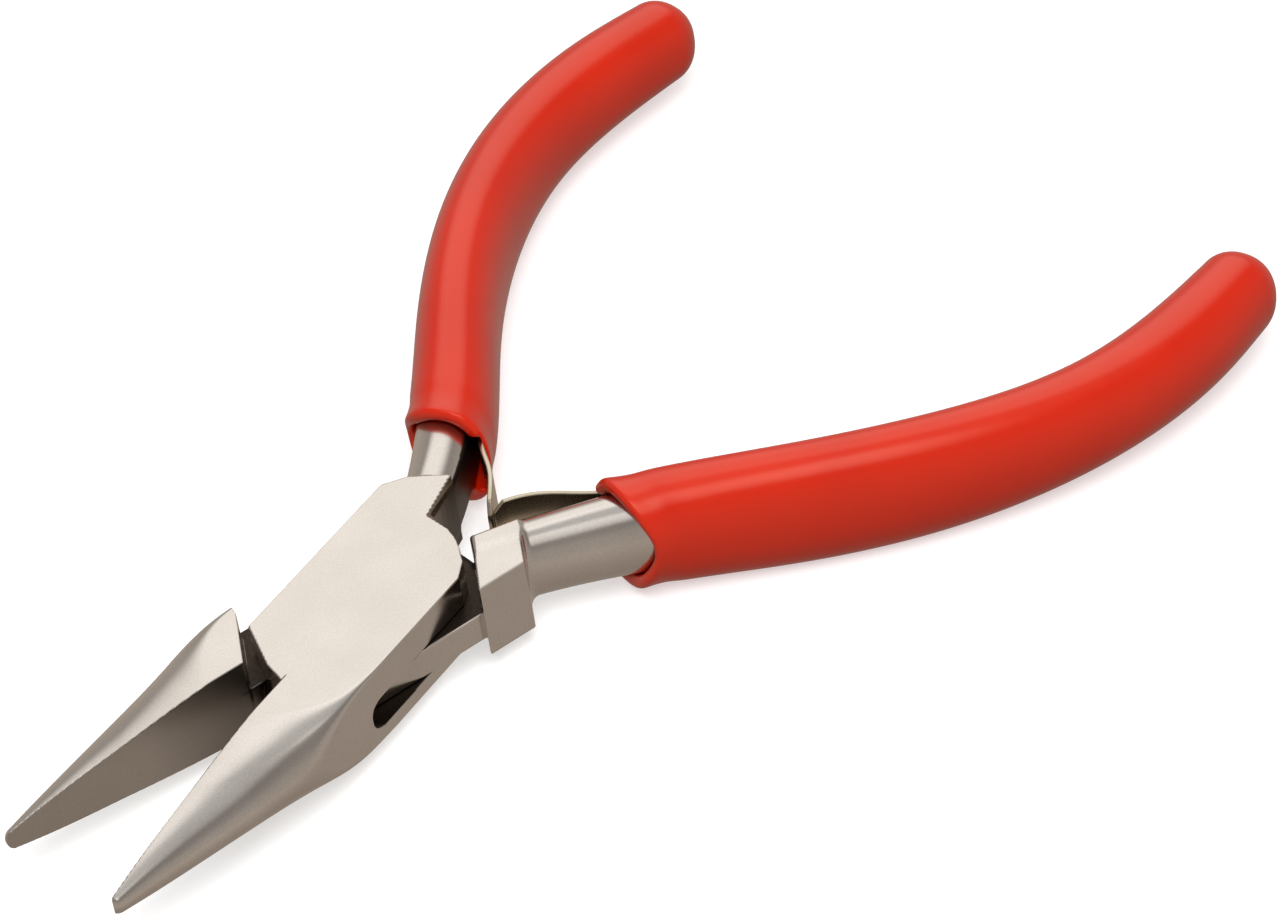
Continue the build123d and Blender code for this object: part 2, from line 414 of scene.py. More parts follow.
def inner_shade(plan, x, y, z, normal):
    """Painted shade: 1 on the web's milled faces and round ends, and less on the handle's inner flat and the
    jaw's face.
    """
    reach, height = np.hypot(x, y), web_height(z)
    on_face = (np.abs(height) < TOUCHING) & (np.abs(normal[:, 2]) > 0.8) & (np.abs(x) < WEB_FACE_REACH)
    on_end = (reach > WEB_END_REACH[0]) & (reach < WEB_END_REACH[1]) & (height < 0)
    on_end &= (np.abs(y) < WEB_END_SIDE) & (np.abs(z) < WEB_END_HEIGHT)
    milled_and_shaded = np.where(on_face | on_end, 1.0, 0.0)
    return np.maximum(milled_and_shaded, flat_shade(plan, x, z, normal, -1) + jaw_face_shade(x, y, normal, -1))


def jaw_face_shade(x, y, normal, side):
    """Part of 1 on the jaw's flat gripping face: a coarser grind and painted shade, which darkens towards its
    root.
    """
    facing = fade(side * normal[:, 1], 0.4, 0.8)
    shade = JAW_FACE_PALE + JAW_FACE_DARKER * fade(x, -26, -13)
    return np.where((x < JAW_FACE_END) & (np.abs(y) < JAW_FACE_DEPTH), facing * shade, 0.0)


def flat_shade(plan, x, z, normal, side):
    """Painted shade, most of 1, on walls that face the other handle, from the joint's back corner on, lighter
    in a painted highlight band along the top.
    """
    facing = (-side * normal[:, 1] > 0.55) & (np.abs(normal[:, 2]) < 0.5) & (x > INNER_FLAT_START)
    # Painted highlight: a lighter band along the top of the flat, where its upper edge rounds over.
    highlight_band = fade(z, 2.2, 3.2) * (x < UPPER_BAND_END)
    shade = INNER_FLAT_SHADE - UPPER_BAND_HIGHLIGHT * highlight_band
    return np.where(facing & (plan["offset"] < 0.5), shade, 0.0)


# ---- meshing a distance --------------------------------------------------------------------------
COARSE = 5                   # grid steps between the points of the first, rough look
NEAR = 2.2                   # rough steps from the surface within which every point is worked out
FIELD_BATCH = 1500000        # points worked out at a time
TRIANGLES = 170000           # in each steel half, at most
SETTLE_LIMIT = 0.06          # how far a vertex moves at a time
FLAT_TURN = (5, 14)          # degrees off the face where a corner's own normal starts to give way and is gone


def surface_net(distance, plan, xs, ys, zs):
    """Vertices and quads of the zero surface on a square grid, worked out only near the surface."""
    step = xs[1] - xs[0]
    ci, cj, ck = [np.arange(0, len(line), COARSE) for line in (xs, ys, zs)]
    gi, gj, gk = np.meshgrid(ci, cj, ck, indexing="ij")
    rough = distance(plan.at_grid(gi, gj), xs[gi], ys[gj], zs[gk])
    near = np.abs(rough) < NEAR * COARSE * step

    def spread(coarse_values):
        """The rough grid's values, repeated over the fine one."""
        for axis in range(3):
            coarse_values = np.repeat(coarse_values, COARSE, axis)
        return coarse_values[:len(xs), :len(ys), :len(zs)]

    field = spread(np.where(rough < 0, -1.0, 1.0).astype(np.float32)).copy()
    i, j, k = np.nonzero(spread(near))
    for start in range(0, len(i), FIELD_BATCH):
        a, b, c = [line[start:start + FIELD_BATCH] for line in (i, j, k)]
        field[a, b, c] = distance(plan.at_grid(a, b), xs[a], ys[b], zs[c])
    places, index = net_vertices(field)
    return np.array([xs[0], ys[0], zs[0]]) + places * step, net_quads(field < 0, index)


def net_vertices(field):
    """A vertex in each cell that the surface crosses, in grid steps, and the vertices' numbers by cell."""
    inside = field < 0
    cells = tuple(size - 1 for size in field.shape)
    corner = inside[:-1, :-1, :-1]
    mixed = np.zeros(cells, bool)
    for dx in (0, 1):
        for dy in (0, 1):
            for dz in (0, 1):
                mixed |= inside[dx:dx + cells[0], dy:dy + cells[1], dz:dz + cells[2]] != corner
    index = np.full(cells, -1, np.int64)
    ci, cj, ck = np.nonzero(mixed)
    index[ci, cj, ck] = np.arange(len(ci))
    total = np.zeros((len(ci), 3))
    count = np.zeros(len(ci))
    axes = np.eye(3, dtype=int)
    for axis in range(3):
        others = [a for a in range(3) if a != axis]
        for u in (0, 1):
            for v in (0, 1):
                base = np.zeros(3, int)
                base[others[0]], base[others[1]] = u, v
                first = field[ci + base[0], cj + base[1], ck + base[2]].astype(float)
                tip = base + axes[axis]
                second = field[ci + tip[0], cj + tip[1], ck + tip[2]].astype(float)
                crossed = (first < 0) != (second < 0)
                share = np.where(crossed, first / np.where(crossed, first - second, 1), 0)
                point = np.stack([ci + base[0], cj + base[1], ck + base[2]], -1).astype(float)
                point[:, axis] += share
                total += np.where(crossed[:, None], point, 0)
                count += crossed
    return total / count[:, None], index


def net_quads(inside, index):
    """A quad across each grid edge that the surface crosses, joining the four cells round the edge."""
    quads = []
    for axis in range(3):
        u, v = (axis + 1) % 3, (axis + 2) % 3
        first = inside[tuple(slice(0, -1) if a == axis else slice(1, -1) for a in range(3))]
        second = inside[tuple(slice(1, None) if a == axis else slice(1, -1) for a in range(3))]
        crossed = np.argwhere(first != second)
        outward = first[tuple(crossed.T)]
        crossed[:, u] += 1
        crossed[:, v] += 1
        ring = []
        for du, dv in ((0, 0), (1, 0), (1, 1), (0, 1)):
            cell = crossed.copy()
            cell[:, u] -= du
            cell[:, v] -= dv
            ring.append(index[tuple(cell.T)])
        ring = np.stack(ring, -1)
        quads.append(np.where(outward[:, None], ring, ring[:, ::-1]))
    return np.concatenate(quads)


def slope_of(distance, plan, points, tiny=0.012):
    """The distance's slope at each point, which points out of the steel."""
    slope = np.empty_like(points)
    for axis in range(3):
        shift = np.zeros(3)
        shift[axis] = tiny
        above, below = (points + shift).T, (points - shift).T
        rise = distance(plan.at(*above[:2]), *above) - distance(plan.at(*below[:2]), *below)
        slope[:, axis] = rise / (2 * tiny)
    return slope


def settle(distance, plan, points, rounds=2):
    """Moves each point onto the surface, along the distance's slope."""
    for _ in range(rounds):
        x, y, z = points.T
        value = distance(plan.at(x, y), x, y, z)
        slope = slope_of(distance, plan, points)
        move = -(value / np.maximum((slope ** 2).sum(-1), 0.2))[:, None] * slope
        size = np.linalg.norm(move, axis=-1, keepdims=True)
        points = points + move * np.minimum(1, SETTLE_LIMIT / np.maximum(size, 1e-9))
    return points


def unit(vectors):
    """The vectors at a length of 1."""
    return vectors / np.maximum(np.linalg.norm(vectors, axis=-1, keepdims=True), 1e-9)


def place(points, inner):
    """From a half's own frame, in millimetres, to the row frame at rest, in metres."""
    points = np.asarray(points, float).copy()
    turn = math.radians(-REST_OPENING / 2 if inner else REST_OPENING / 2)
    cos, sin = math.cos(turn), math.sin(turn)
    x, y = points[..., 0].copy(), points[..., 1].copy()
    points[..., 0], points[..., 1] = cos * x - sin * y, sin * x + cos * y
    return points * MM + PIVOT


def new_mesh(name, vertices, faces, material, body, replaced=()):
    """A smooth visible piece that rides a body, or none if no body is given."""
    mesh = bpy.data.meshes.new(name)
    mesh.from_pydata(vertices.tolist(), [], [tuple(face) for face in faces])
    mesh.update()
    mesh.materials.append(material)
    mesh.shade_smooth()
    piece = bpy.data.objects.new(name, mesh)
    bpy.context.scene.collection.objects.link(piece)
    if body:
        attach(piece, body)
    if replaced:
        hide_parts(*replaced)
    return piece


def thinned(vertices, faces, triangles):
    """The mesh with its flat stretches in larger triangles, as arrays of points and triangles."""
    faces = np.concatenate([faces[:, [0, 1, 2]], faces[:, [0, 2, 3]]])
    if len(faces) < triangles:
        return vertices, faces
    mesh = bpy.data.meshes.new("dense")
    mesh.from_pydata(vertices.tolist(), [], faces.tolist())
    dense = bpy.data.objects.new("dense", mesh)
    bpy.context.scene.collection.objects.link(dense)
    thin = dense.modifiers.new("thin", "DECIMATE")
    thin.ratio = triangles / len(faces)
    thin.use_collapse_triangulate = True
    graph = bpy.context.evaluated_depsgraph_get()
    result = bpy.data.meshes.new_from_object(dense.evaluated_get(graph))
    points = np.empty(3 * len(result.vertices))
    result.vertices.foreach_get("co", points)
    corners = np.empty(len(result.loops), int)
    result.loops.foreach_get("vertex_index", corners)
    bpy.data.objects.remove(dense)
    bpy.data.meshes.remove(mesh)
    bpy.data.meshes.remove(result)
    return points.reshape(-1, 3), corners.reshape(-1, 3)


def corner_normals(distance, plan, points, faces):
    """Normals for each corner of each triangle: the surface's own, or the face's side of a sharp edge."""
    at_points = unit(slope_of(distance, plan, points))
    corners = points[faces]
    across = np.cross(corners[:, 1] - corners[:, 0], corners[:, 2] - corners[:, 0])
    flat = unit(across)[:, None]
    smooth = at_points[faces]
    turn = np.degrees(np.arccos(np.clip((smooth * flat).sum(-1), -1, 1)))[..., None]
    share = fade(turn, *FLAT_TURN)
    return unit(smooth * (1 - share) + flat * share), at_points


def steel_half(name, distance, shade, outlines, inner, material, body, node):
    """The whole half, meshed finely from its distance, thinned where it is flat, and shaded by its slope."""
    step = 0.125
    y_low, y_high = (-31.0, 9.0) if inner else (-9.0, 31.0)
    xs, ys = np.arange(-40.0, 83.0, step), np.arange(y_low, y_high, step)
    zs = np.arange(-5.3, 5.3, step)
    plan = Plan(xs, ys, inner, outlines)
    points, quads = surface_net(distance, plan, xs, ys, zs)
    points = settle(distance, plan, points)
    points, faces = thinned(points, quads, TRIANGLES)
    normals, at_points = corner_normals(distance, plan, points, faces)
    piece = new_mesh(name, place(points, inner), faces, material, body, [node])
    x, y, z = points.T
    # Painted shade per vertex: full in the milled slot and on the web, less on the handle's inner flat and
    # the jaw's face.
    milled_and_shaded = piece.data.attributes.new("milled_and_shaded", "FLOAT", "POINT")
    milled_and_shaded.data.foreach_set("value", shade(plan.at(x, y), x, y, z, at_points).astype(np.float32))
    normals = (place(normals, inner) - PIVOT) / MM
    piece.data.normals_split_custom_set(normals.reshape(-1, 3).tolist())
    return piece


def ring_faces(rings, around, first=0):
    """Quads that join rings of vertices, one ring after the other, from the first vertex's number on."""
    faces = []
    for ring in range(rings - 1):
        for k in range(around):
            a, b = first + ring * around + k, first + ring * around + (k + 1) % around
            faces.append((a, b, b + around, a + around))
    return faces


def pivot_pin(name, material):
    """A pin with broken edges, whose ends stop just under the ground faces."""
    around, play, broken = 96, 0.01, 0.2
    height = HALF_THICK - PIN_COVER - play
    angle = np.linspace(0, 2 * math.pi, around, endpoint=False)
    rows = [(PIN_RADIUS - broken, -height), (PIN_RADIUS, broken - height)]
    rows += [(PIN_RADIUS, height - broken), (PIN_RADIUS - broken, height)]
    vertices = [(radius * math.cos(a), radius * math.sin(a), z) for radius, z in rows for a in angle]
    ends = [tuple(range(around))[::-1], tuple(range(3 * around, 4 * around))]
    faces = ends + ring_faces(len(rows), around)
    return new_mesh(name, place(vertices, False), faces, material, "outer", ["pivot_pin"])


# ---- materials -----------------------------------------------------------------------------------
def new_material(name, **values):
    """A material with values for the shader's own sockets, its tree and its shader."""
    material = bpy.data.materials.new(name)
    material.use_nodes = True
    tree = material.node_tree
    shader = tree.nodes["Principled BSDF"]
    for socket, value in values.items():
        shader.inputs[socket.replace("_", " ")].default_value = value
    return material, tree, shader


def add_node(tree, kind, inputs=(), **settings):
    """A node with its settings, and a link or a value for each input that is given."""
    node = tree.nodes.new(kind)
    for key, value in settings.items():
        setattr(node, key, value)
    for key, value in dict(inputs).items():
        if isinstance(value, bpy.types.NodeSocket):
            tree.links.new(value, node.inputs[key])
        else:
            node.inputs[key].default_value = value
    return node


def stretched_noise(tree, stretch, scale, detail, rough):
    """Noise drawn out along one direction of the object."""
    place_node = add_node(tree, "ShaderNodeTexCoord")
    mapped = add_node(tree, "ShaderNodeMapping", {"Vector": place_node.outputs["Object"], "Scale": stretch})
    values = {"Vector": mapped.outputs[0], "Scale": scale, "Detail": detail, "Roughness": rough}
    return add_node(tree, "ShaderNodeTexNoise", values).outputs["Fac"]


def ramp(tree, factor, stops):
    """Colours blended between stops along a factor."""
    node = add_node(tree, "ShaderNodeValToRGB", {"Fac": factor})
    elements = node.color_ramp.elements
    while len(elements) < len(stops):
        elements.new(0.5)
    for element, (position, colour) in zip(elements, stops):
        element.position = position
        element.color = (*colour, 1)
    return node.outputs["Color"]


def in_range(tree, factor, low, high):
    """A factor from 0 to 1 brought between two values."""
    values = {"Value": factor, "To Min": low, "To Max": high}
    return add_node(tree, "ShaderNodeMapRange", values).outputs[0]


def blended(tree, kind, factor, first, second):
    """Two colours mixed in one of the blend modes."""
    node = add_node(tree, "ShaderNodeMix", data_type="RGBA", blend_type=kind)
    colours = [socket for socket in node.inputs if socket.type == "RGBA"]
    for socket, value in ((node.inputs[0], factor), (colours[0], first), (colours[1], second)):
        if isinstance(value, bpy.types.NodeSocket):
            tree.links.new(value, socket)
        else:
            socket.default_value = value
    return next(socket for socket in node.outputs if socket.type == "RGBA")


def ground_steel():
    """Satin ground steel with a fine sparkle, and dark milled steel with painted shade where the piece's
    attribute marks it.
    """
    material, tree, shader = new_material("ground_steel", Metallic=1.0)
    lines = stretched_noise(tree, (1, 9, 9), 2600, 4, 0.6)
    grain = stretched_noise(tree, (1, 1, 1), 5200, 2, 0.5)
    clouds = stretched_noise(tree, (1, 1, 1), 160, 3, 0.55)
    milled_and_shaded = add_node(tree, "ShaderNodeAttribute", attribute_name="milled_and_shaded").outputs["Fac"]
    ground = ramp(tree, clouds, [(0.3, (0.72, 0.68, 0.635)), (0.7, (0.77, 0.73, 0.69))])
    sparkle = ramp(tree, grain, [(0.35, (0.965, 0.965, 0.965)), (0.65, (1.03, 1.03, 1.03))])
    ground = blended(tree, "MULTIPLY", 1.0, ground, sparkle)
    # Painted shade: near-black ribbed steel for the milled slot and web, blended in by the attribute.
    shaded_ribs = ramp(tree, lines, [(0.35, (0.025, 0.018, 0.014)), (0.65, (0.085, 0.066, 0.052))])
    tree.links.new(blended(tree, "MIX", milled_and_shaded, ground, shaded_ribs), shader.inputs["Base Color"])
    polish = in_range(tree, clouds, 0.15, 0.22)
    rough = add_node(tree, "ShaderNodeMath", {0: milled_and_shaded, 1: 0.26}, operation="MULTIPLY").outputs[0]
    rough = add_node(tree, "ShaderNodeMath", {0: polish, 1: rough}, operation="ADD").outputs[0]
    tree.links.new(rough, shader.inputs["Roughness"])
    bump = add_node(tree, "ShaderNodeBump", {"Height": lines, "Strength": 0.05, "Distance": 0.00003})
    tree.links.new(bump.outputs[0], shader.inputs["Normal"])
    return material


def dipped_vinyl():
    """Red dipped vinyl: satin gloss over a faintly uneven skin."""
    material, tree, shader = new_material(
        "dipped_vinyl", Metallic=0.0, Specular_IOR_Level=0.76, Specular_Tint=(1.0, 0.94, 0.72, 1.0)
    )
    clouds = stretched_noise(tree, (1, 1, 1), 90, 3, 0.5)
    grain = stretched_noise(tree, (1, 1, 1), 900, 3, 0.5)
    colour = ramp(tree, clouds, [(0.3, (0.58, 0.012, 0.0015)), (0.7, (0.63, 0.015, 0.002))])
    tree.links.new(colour, shader.inputs["Base Color"])
    tree.links.new(in_range(tree, grain, 0.17, 0.26), shader.inputs["Roughness"])
    bump = add_node(tree, "ShaderNodeBump", {"Height": clouds, "Strength": 0.25, "Distance": 0.0002})
    fine = add_node(tree, "ShaderNodeBump", {
        "Height": grain, "Strength": 0.08, "Distance": 0.00003, "Normal": bump.outputs[0]
    })
    tree.links.new(fine.outputs[0], shader.inputs["Normal"])
    return material


def spring_steel():
    """Rolled strip, a little yellower and glossier than the ground steel."""
    material, tree, shader = new_material("spring_steel", Metallic=1.0)
    lines = stretched_noise(tree, (1, 1, 12), 1500, 3, 0.5)
    clouds = stretched_noise(tree, (1, 1, 1), 240, 2, 0.5)
    colour = ramp(tree, clouds, [(0.3, (0.60, 0.53, 0.40)), (0.7, (0.70, 0.63, 0.50))])
    tree.links.new(colour, shader.inputs["Base Color"])
    tree.links.new(in_range(tree, lines, 0.2, 0.34), shader.inputs["Roughness"])
    return material


# ---- grips ---------------------------------------------------------------------------------------
LEAF_THICK = 0.5
LEAF_HALF_HEIGHT = 2.4
LEAF_SAMPLES = 121           # points along a leaf
# The leaf springs' lines seen from above, from under the grip to the tip.
LEAF_ROOT = [(37.4, 12.35), (33.4, 9.95), (29.4, 7.4)]
OUTER_LEAF = [*LEAF_ROOT, (26.2, 5.1), (22.7, 2.65), (20.2, 0.05), (17.9, -1.6), (15.6, -3.0)]
INNER_LEAF = [*LEAF_ROOT, (26.2, 5.0), (23.1, 2.3), (20.8, -0.1), (18.7, -1.55), (16.15, -2.4)]
# Share of the handle's line where the rim is, at eight even angles from the outer side over the top.
OUTER_MOUTH = [0.200, 0.173, 0.154, 0.146, 0.138, 0.137, 0.158, 0.184]
INNER_MOUTH = [0.206, 0.197, 0.174, 0.160, 0.149, 0.150, 0.170, 0.190]
OUTSIDE_POWER, INSIDE_POWER = 2.15, 2.3      # of the grip's section: 2 is an ellipse, and more is squarer
STEEL_PLAY = 0.04            # between the steel and the grip
LEAF_PLAY = 0.12
LEAF_ROOM_HEIGHT = 2.75      # half the height of the cavity for the leaf
LEAF_ROOM_END = (0.34, 0.4)  # shares of the handle's line where that cavity fades out
SOCKET_END = 0.955           # share of the handle's line where the grip's inside ends
END_RINGS, LIP_RINGS, SOCKET_RINGS = 16, 13, 40
BEAD = 0.1                   # height of the bead behind the rim and depth of the dip after it
BEAD_WIDTH = 0.7
DIP_PLACE, DIP_WIDTH = 2.3, 1.2
LIP_THINNEST, WALL_THINNEST = 0.4, 0.35
LIP_DEPTH = 0.55             # how far the lip rounds forward, at most
SETTLING = 1.2               # distance from the rim in which the inside comes in to the steel


def around_section(values, angle):
    """A smooth curve once round the section through values at even angles."""
    waves = np.fft.rfft(values) / len(values)
    total = np.full(angle.shape, waves[0].real)
    for k in range(1, len(waves)):
        weight = 1 if 2 * k == len(values) else 2
        total += weight * (waves[k] * np.exp(1j * k * angle)).real
    return total


def grip_radius(angle, sizes):
    """How far the grip's edge is from its middle: round outside, squarer on the inner side."""
    outer_width, inner_width, half_height = sizes[..., 0], sizes[..., 1], sizes[..., 2]
    across, up = np.abs(np.cos(angle)), np.abs(np.sin(angle))

    def reach(width, power):
        return ((across / width) ** power + (up / half_height) ** power) ** (-1 / power)

    outer, inner = reach(outer_width, OUTSIDE_POWER), reach(inner_width, INSIDE_POWER)
    return np.where(np.cos(angle) > 0, outer, inner)


def steel_radius(angle, sizes):
    """The same for the steel inside the grip, with a hair of play."""
    half_width = np.where(np.cos(angle) > 0, sizes[..., 0], sizes[..., 1])
    whole = 1 / np.hypot(np.cos(angle) / half_width, np.sin(angle) / sizes[..., 2])
    flat = sizes[..., 3] / np.maximum(-np.cos(angle), 1e-3)
    return np.minimum(whole, flat) + STEEL_PLAY


def leaf_room(angle, share, leaf_line):
    """How far the cavity reaches on the inner side, where the leaf spring lies."""
    leaf_share, leaf_offset = along_handle(leaf_line[:, 0], leaf_line[:, 1])
    order = np.argsort(leaf_share)
    depth = np.interp(share, leaf_share[order], -leaf_offset[order]) + LEAF_THICK / 2 + LEAF_PLAY
    depth = depth * (1 - fade(share, *LEAF_ROOM_END))
    across, up = np.maximum(-np.cos(angle), 1e-3), np.maximum(np.abs(np.sin(angle)), 1e-3)
    return np.where(np.cos(angle) < 0, np.minimum(depth / across, LEAF_ROOM_HEIGHT / up), 0)


def handle_points(share, across, up):
    """Points beside the handle's line, which runs straight on past its ends."""
    where = np.clip(share, 0, 1) * (len(HANDLE) - 1)
    index = np.arange(len(HANDLE))
    centre = np.stack([np.interp(where, index, HANDLE[:, k]) for k in (0, 1)], -1)
    left = np.stack([np.interp(where, index, HANDLE_LEFT[:, k]) for k in (0, 1)], -1)
    left /= np.linalg.norm(left, axis=-1, keepdims=True)
    past = (share - np.clip(share, 0, 1)) * HANDLE_LENGTH
    ahead = np.stack([left[..., 1], -left[..., 0]], -1)
    flat = centre + across[..., None] * left + past[..., None] * ahead
    return np.concatenate([flat, np.broadcast_to(up, across.shape)[..., None]], -1)


def grip_rings(angle, along, mouth, leaf_line):
    """Share and radius of each ring: from the rounded end to the rim, round the lip and back inside."""
    rim = around_section(mouth, angle)
    end_share, end_width = GRIP_SECTIONS[-1][:2]
    end_radius = grip_radius(angle, np.array(GRIP_SECTIONS[-1][1:]))
    rings = []
    for tilt in np.linspace(0, math.pi / 2, END_RINGS, endpoint=False)[1:]:
        share = end_share + end_width * math.cos(tilt) / HANDLE_LENGTH
        rings.append((np.full(angle.shape, share), end_radius * math.sin(tilt)))
    for step in np.linspace(0, 1, along):
        share = end_share + (rim - end_share) * step ** 0.85
        back = (share - rim) * HANDLE_LENGTH
        bead = BEAD * np.exp(-(back / BEAD_WIDTH) ** 2)
        bead -= BEAD * np.exp(-((back - DIP_PLACE) / DIP_WIDTH) ** 2)
        rings.append((share, grip_radius(angle, section_at(GRIP_SECTIONS, share)) + bead))

    def inside(share):
        """How far the inside is from the middle: on the steel, or round the leaf."""
        snug = steel_radius(angle, section_at(STEEL_SECTIONS, share))
        return np.maximum(snug, leaf_room(angle, share, leaf_line))

    outer_edge = rings[-1][1]
    inner_edge = np.minimum(inside(rim) + LEAF_PLAY, outer_edge - LIP_THINNEST)
    middle, half_wall = (outer_edge + inner_edge) / 2, (outer_edge - inner_edge) / 2
    for turn in np.linspace(0, math.pi, LIP_RINGS)[1:]:
        share = rim - np.minimum(half_wall, LIP_DEPTH) * math.sin(turn) / HANDLE_LENGTH
        rings.append((share, middle + half_wall * math.cos(turn)))
    for depth in np.linspace(0, 1, SOCKET_RINGS)[1:]:
        share = rim + (SOCKET_END - rim) * depth ** 1.6
        settled = fade((share - rim) * HANDLE_LENGTH, 0, SETTLING)
        skin = grip_radius(angle, section_at(GRIP_SECTIONS, share))
        wall = np.minimum(inside(share), skin - WALL_THINNEST)
        rings.append((share, inner_edge * (1 - settled) + wall * settled))
    return rings


def grip(name, inner, material, body, node):
    """A sleeve over the handle, closed at its round end and hollow from its rim to its socket's end."""
    around, along = ((176, 200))
    angle = np.linspace(0, 2 * math.pi, around, endpoint=False)
    mouth, leaf_line = (INNER_MOUTH, INNER_LEAF) if inner else (OUTER_MOUTH, OUTER_LEAF)
    rings = grip_rings(angle, along, mouth, even_curve(leaf_line, LEAF_SAMPLES)[0])
    points = [handle_points(share, radius * np.cos(angle), radius * np.sin(angle)) for share, radius in rings]
    first = handle_points(np.array([1 + GRIP_SECTIONS[-1][1] / HANDLE_LENGTH]), np.zeros(1), 0.0)
    last = handle_points(np.array([SOCKET_END]), np.zeros(1), 0.0)
    vertices = np.concatenate([first, *points, last])
    faces = ring_faces(len(rings), around, 1)
    end = 1 + (len(rings) - 1) * around
    for k in range(around):
        faces.append((0, 1 + (k + 1) % around, 1 + k))
        faces.append((len(vertices) - 1, end + k, end + (k + 1) % around))
    if inner:
        vertices = vertices * (1, -1, 1)
        faces = [face[::-1] if len(face) == 4 else (face[0], face[2], face[1]) for face in faces]
    return new_mesh(name, place(vertices, inner), faces, material, body, [node])


# ---- leaf springs --------------------------------------------------------------------------------
LEAF_CORNER = 0.14           # radius of the strip's four edges
LEAF_CHAMFER = 1.1           # of the upper corner at the tip
LOWER_CHAMFER = 0.6          # the lower corner's, as a share of the upper one's


def leaf_profile():
    """The strip's section: across and up, round its four edges."""
    profile = []
    for across, up, start in ((1, -1, -90), (1, 1, 0), (-1, 1, 90), (-1, -1, 180)):
        centre = (across * (LEAF_THICK / 2 - LEAF_CORNER), up * (LEAF_HALF_HEIGHT - LEAF_CORNER))
        for degrees in range(start, start + 91, 30):
            turn = math.radians(degrees)
            corner = (LEAF_CORNER * math.cos(turn), LEAF_CORNER * math.sin(turn))
            profile.append((centre[0] + corner[0], centre[1] + corner[1]))
    return np.array(profile)


def leaf(name, points, inner, material, node):
    """A strip on edge with chamfered corners at its tip."""
    line, left, length = even_curve(points, LEAF_SAMPLES)
    profile = leaf_profile()
    rows = []
    for k in range(len(line)):
        to_tip = (1 - k / (len(line) - 1)) * length
        cut = max(0.0, LEAF_CHAMFER - to_tip)
        up = np.where(profile[:, 1] > 0, profile[:, 1] - cut, profile[:, 1] + cut * LOWER_CHAMFER)
        flat = line[k] + profile[:, :1] * left[k]
        rows.append(np.concatenate([flat, up[:, None]], 1))
    vertices = np.concatenate(rows)
    size = len(profile)
    faces = ring_faces(len(rows), size)
    faces.append(tuple(range(size))[::-1])
    faces.append(tuple(range(len(vertices) - size, len(vertices))))
    if inner:
        vertices = vertices * (1, -1, 1)
        faces = [face[::-1] for face in faces]
    piece = new_mesh(name, place(vertices, inner), faces, material, None, [node])
    side = (1, -1 if inner else 1, 1)
    rivet = place(np.array([*points[1], 0.0]) * side, inner)
    touch = place(np.array([*points[-1], 0.0]) * side, inner)
    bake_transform(piece)
    return piece


# ---- making the pliers ---------------------------------------------------------------------------
steel, vinyl, strip_steel = ground_steel(), dipped_vinyl(), spring_steel()
outer_outlines = ["cheek"]
inner_outlines = ["shoulder", "neck_front", "neck_back", "jaw_back"]
steel_half("outer_half_steel", outer_steel, outer_shade, outer_outlines, False, steel, "outer", "outer_half")
steel_half("inner_half_steel", inner_steel, inner_shade, inner_outlines, True, steel, "inner", "inner_half")
pivot_pin("pivot_pin_steel", steel)
grip("outer_grip_skin", False, vinyl, "outer", "outer_grip")
grip("inner_grip_skin", True, vinyl, "inner", "inner_grip")
leaf("outer_leaf", OUTER_LEAF, False, strip_steel, "outer_leaf_spring")
leaf("inner_leaf", INNER_LEAF, True, strip_steel, "inner_leaf_spring")
for node in ("outer_spring_rivet", "inner_spring_rivet"):
    cad = frame["nodes"][node]
    cad.data.materials.clear()
    cad.data.materials.append(steel)


# ---- floor and light -----------------------------------------------------------------------------
def pale_stage(name, corners, faces, material):
    """Part of the studio that shows only to the camera, so it doesn't change how the steel is lit."""
    mesh = bpy.data.meshes.new(name)
    mesh.from_pydata(corners, [], faces)
    mesh.materials.append(material)
    part = bpy.data.objects.new(name, mesh)
    bpy.context.scene.collection.objects.link(part)
    part.visible_glossy = False
    part.visible_diffuse = False
    return part


FLOOR_HALF = 3.0             # metres, as are all sizes of the studio
WALL_START, WALL_TOP = 1.4, 4.0
WALL_BEND = 1.0              # radius of the sweep from the floor up
WALL_TURNS, BEND_RINGS = 96, 24


def make_floor(low, material):
    """A pale square under the object."""
    half = FLOOR_HALF
    corners = [(-half, -half, low), (half, -half, low), (half, half, low), (-half, half, low)]
    pale_stage("floor", corners, [(0, 1, 2, 3)], material)


def make_wall(low, material):
    """A pale wall that sweeps up from the floor all round, far outside the object."""
    profile = []
    for turn in np.linspace(0.01, math.pi / 2, BEND_RINGS):
        profile.append((WALL_START + WALL_BEND * math.sin(turn), low + WALL_BEND * (1 - math.cos(turn))))
    profile.append((WALL_START + WALL_BEND, WALL_TOP))
    corners = []
    for reach, up in profile:
        for turn in np.linspace(0, 2 * math.pi, WALL_TURNS, endpoint=False):
            corners.append((reach * math.cos(turn), reach * math.sin(turn), up))
    faces = ring_faces(len(profile), WALL_TURNS)
    wall = pale_stage("wall", corners, faces, material)
    wall.visible_shadow = False
    wall.data.polygons.foreach_set("use_smooth", [True] * len(faces))


def make_backdrop():
    """The floor and the wall, in one pale material that gives some light of its own."""
    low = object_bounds()[0][2]
    material, _, _ = new_material(
        "pale_floor", Roughness=0.9, Base_Color=(0.6, 0.6, 0.6, 1), Emission_Color=(1, 1, 1, 1),
        Emission_Strength=0.55
    )
    make_floor(low, material)
    make_wall(low, material)


# The studio as the steel sees it: a warm table below, brightest just under the horizon, dim walls above it,
# and a lamp overhead. Each stop is the sine of the angle above the horizon and a colour.
SURROUNDINGS = [
    (-1.0, (0.30, 0.25, 0.21)), (-0.25, (0.44, 0.38, 0.33)), (0.3, (0.37, 0.34, 0.31)),
    (0.75, (0.22, 0.20, 0.19)), (1.0, (0.60, 0.59, 0.58)),
]
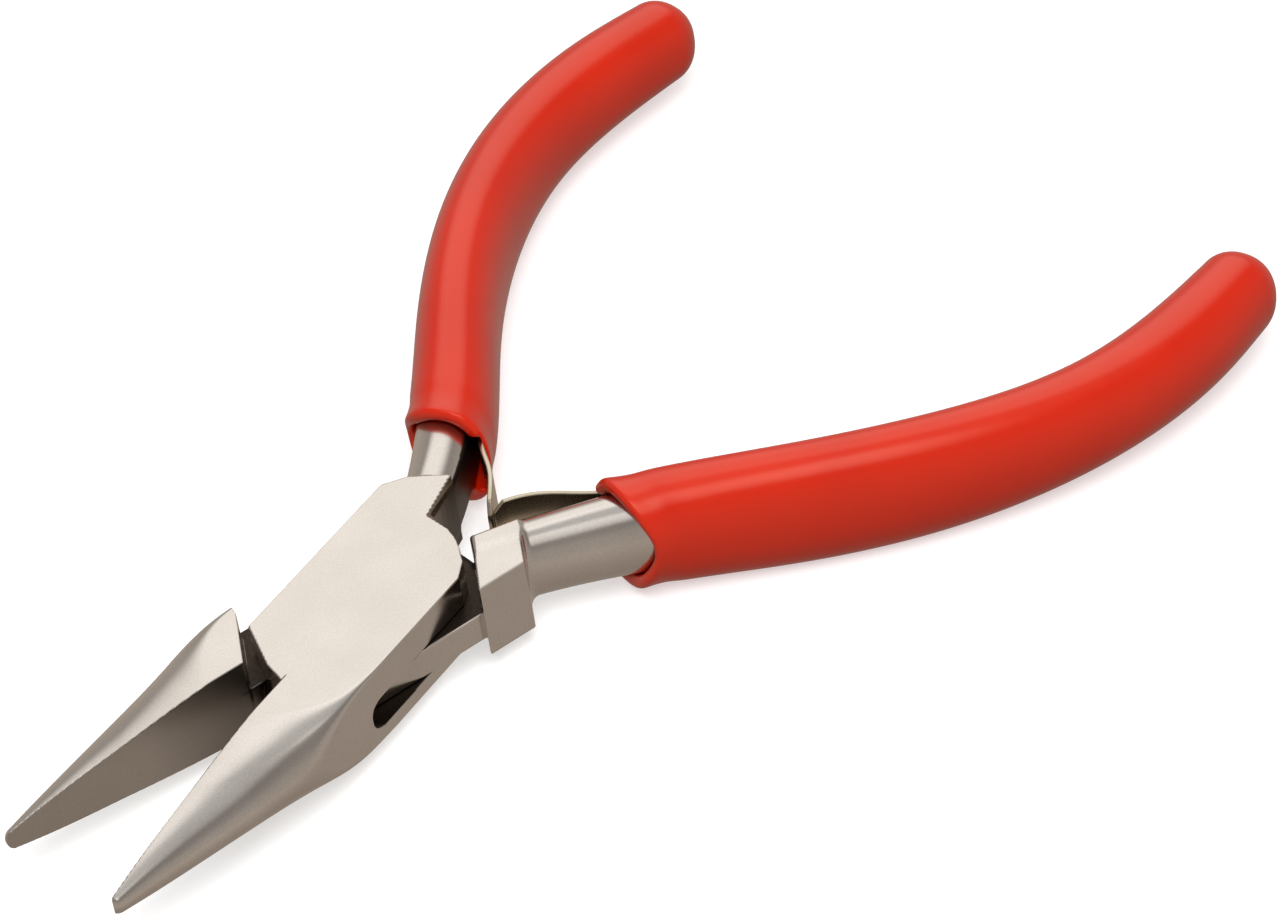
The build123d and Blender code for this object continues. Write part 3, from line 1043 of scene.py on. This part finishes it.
# Two softboxes, a wide one behind the handles and a small one high on the right: azimuth and elevation in
# degrees, the cosines of the angles off its centre where it starts and where it is full, and its colour.
SOFTBOXES = [(40, 45, 0.8, 0.98, (0.86, 0.84, 0.81)), (-110, 60, 0.93, 0.98, (0.5, 0.49, 0.47))]


def make_world():
    """The surroundings and the softboxes, by direction alone."""
    world = bpy.data.worlds.new("studio")
    bpy.context.scene.world = world
    world.use_nodes = True
    tree = world.node_tree
    direction = add_node(tree, "ShaderNodeTexCoord").outputs["Generated"]
    height = add_node(tree, "ShaderNodeSeparateXYZ", {0: direction}).outputs["Z"]
    share = add_node(tree, "ShaderNodeMapRange", {"Value": height, "From Min": -1.0, "From Max": 1.0})
    colour = ramp(tree, share.outputs[0], [((up + 1) / 2, tint) for up, tint in SURROUNDINGS])
    for azimuth, elevation, start, full, tint in SOFTBOXES:
        turn, rise = math.radians(azimuth), math.radians(elevation)
        centre = (math.cos(rise) * math.cos(turn), math.cos(rise) * math.sin(turn), math.sin(rise))
        along = add_node(tree, "ShaderNodeVectorMath", {0: direction, 1: centre}, operation="DOT_PRODUCT")
        inside = add_node(tree, "ShaderNodeMapRange", {
            "Value": along.outputs["Value"], "From Min": start, "From Max": full
        }, interpolation_type="SMOOTHSTEP")
        colour = blended(tree, "ADD", inside.outputs[0], colour, (*tint, 1))
    tree.links.new(colour, tree.nodes["Background"].inputs["Color"])


def make_key_light():
    """A square lamp over the front right, which lights the vinyl and the floor but isn't reflected."""
    data = bpy.data.lights.new("key", "AREA")
    data.shape = "RECTANGLE"
    data.size, data.size_y = 0.4, 0.4
    data.energy = 4.2
    light = bpy.data.objects.new("key", data)
    stand, aim = Vector((-0.15, -0.25, 0.6)), Vector((0.02, 0, 0))
    light.location = stand
    light.rotation_euler = (aim - stand).to_track_quat("-Z", "Y").to_euler()
    bpy.context.scene.collection.objects.link(light)
    light.visible_glossy = False


make_backdrop()
make_world()
make_key_light()
bpy.context.scene.view_settings.view_transform = "Standard"
